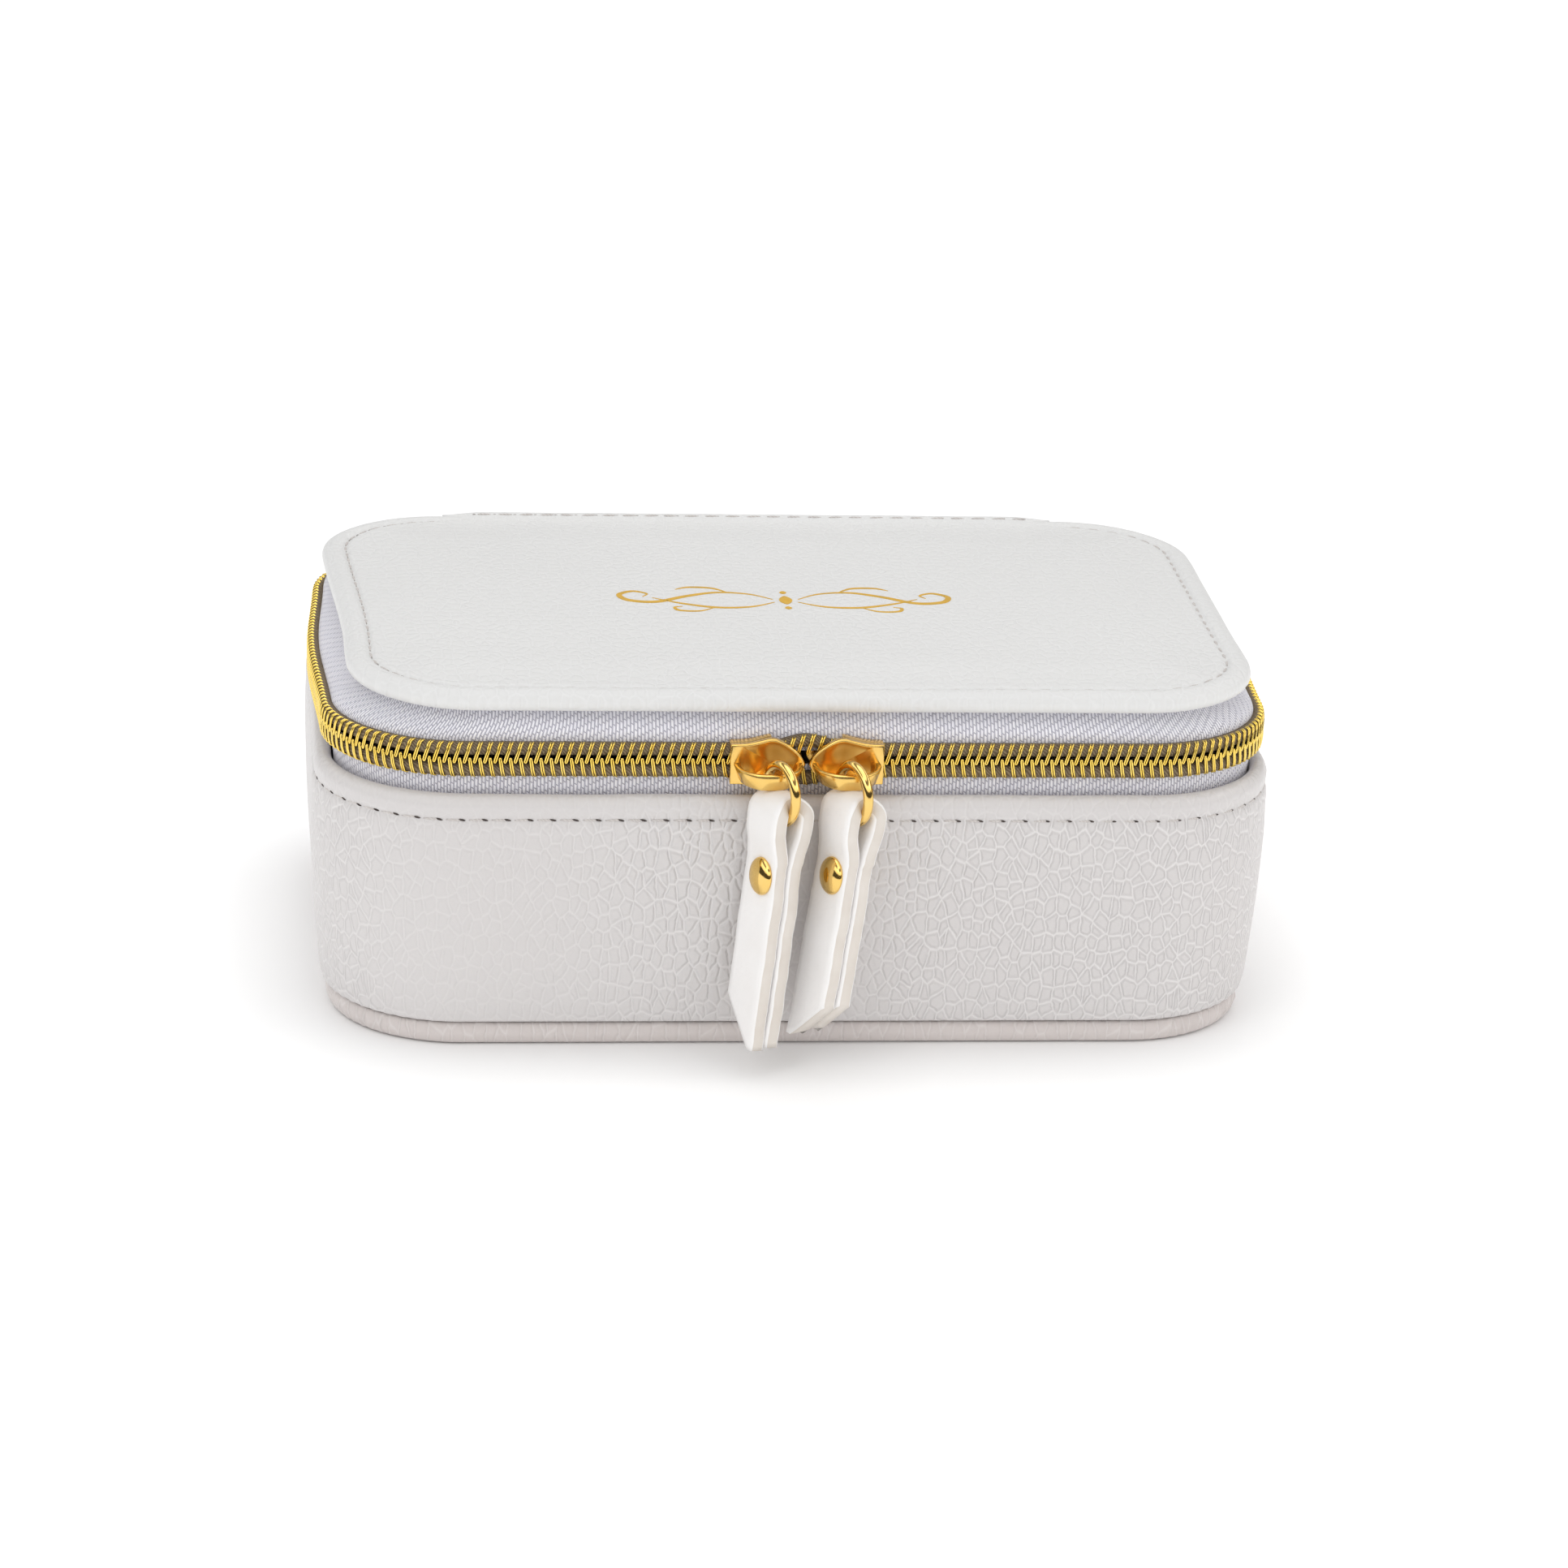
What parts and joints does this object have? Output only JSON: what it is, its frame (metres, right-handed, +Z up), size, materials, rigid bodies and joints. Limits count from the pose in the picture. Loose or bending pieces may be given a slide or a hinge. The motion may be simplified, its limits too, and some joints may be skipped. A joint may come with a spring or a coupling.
{
  "type": "zipped jewellery case",
  "caption": "Small padded travel case with rounded corners, a hinged lid, a coil zip with twin sliders and strap pulls, and a divided lined interior for jewellery.",
  "frame": {"origin": "centre of the underside, on the surface the case stands on", "axes": "+Z up towards the lid, +X along the width to the right, front with the zip sliders faces -Y"},
  "size_m": [0.1614, 0.1248, 0.0623],
  "materials": {
    "leather": "white pebble-grained faux leather, semi-matt",
    "board": "grey-brown board, hidden between cover and lining",
    "velvet": "short-pile velvet",
    "foam": "velvet-covered foam",
    "zip_tape": "woven polyester tape",
    "zip_coil": "metallic gold coated coil",
    "gold": "polished gold plating"
  },
  "bodies": {
    "tray": {"bottom_cover": "leather", "bottom_board": "board", "body_cover": "leather", "body_board": "board", "body_lining": "velvet", "lower_tape": "zip_tape", "lower_coil": "zip_coil", "hinge_lower": "leather", "ring_roll_1": "foam", "ring_roll_2": "foam", "ring_roll_3": "foam", "ring_roll_4": "foam", "partition": "velvet", "front_divider": "velvet", "back_divider": "velvet"},
    "lid": {"lid_cover": "leather", "lid_pad": "foam", "lid_board": "board", "lid_lining": "velvet", "lid_pocket": "velvet", "pocket_elastic": "velvet", "necklace_tab_1": "leather", "necklace_tab_2": "leather", "necklace_tab_3": "leather", "necklace_snap_1": "gold", "necklace_snap_2": "gold", "necklace_snap_3": "gold", "upper_tape": "zip_tape", "upper_coil": "zip_coil", "hinge_upper": "leather"},
    "left_runner": {"left_slider": "gold", "left_bridge": "gold"},
    "left_link": {"left_ring": "gold"},
    "left_pull": {"left_strap": "leather", "left_rivet_cap": "gold", "left_rivet_socket": "gold"},
    "right_runner": {"right_slider": "gold", "right_bridge": "gold"},
    "right_link": {"right_ring": "gold"},
    "right_pull": {"right_strap": "leather", "right_rivet_cap": "gold", "right_rivet_socket": "gold"}
  },
  "joints": [
    {"name": "lid_hinge", "type": "hinge", "parent": "tray", "child": "lid", "pos_m": [0, 0.0543, 0.051], "axis": [-1, 0, 0], "range_deg": [0, 100]},
    {"name": "left_zip_travel", "type": "slide", "parent": "tray", "child": "left_runner", "axis": [-1, 0, 0], "range_m": [0, 0.042]},
    {"name": "left_ring_lift", "type": "hinge", "parent": "left_runner", "child": "left_link", "pos_m": [-0.00725, -0.0613, 0.0497], "axis": [-1, 0, 0], "range_deg": [0, 95]},
    {"name": "left_pull_swing", "type": "hinge", "parent": "left_link", "child": "left_pull", "pos_m": [-0.00565, -0.0619, 0.04305], "axis": [-0.4067, 0.9135, 0], "range_deg": [-3, 12]},
    {"name": "right_zip_travel", "type": "slide", "parent": "tray", "child": "right_runner", "axis": [1, 0, 0], "range_m": [0, 0.042]},
    {"name": "right_ring_lift", "type": "hinge", "parent": "right_runner", "child": "right_link", "pos_m": [0.00565, -0.0613, 0.0497], "axis": [-1, 0, 0], "range_deg": [0, 95]},
    {"name": "right_pull_swing", "type": "hinge", "parent": "right_link", "child": "right_pull", "pos_m": [0.00615, -0.0619, 0.04305], "axis": [-0.4067, 0.9135, 0], "range_deg": [-14, 3]}
  ]
}
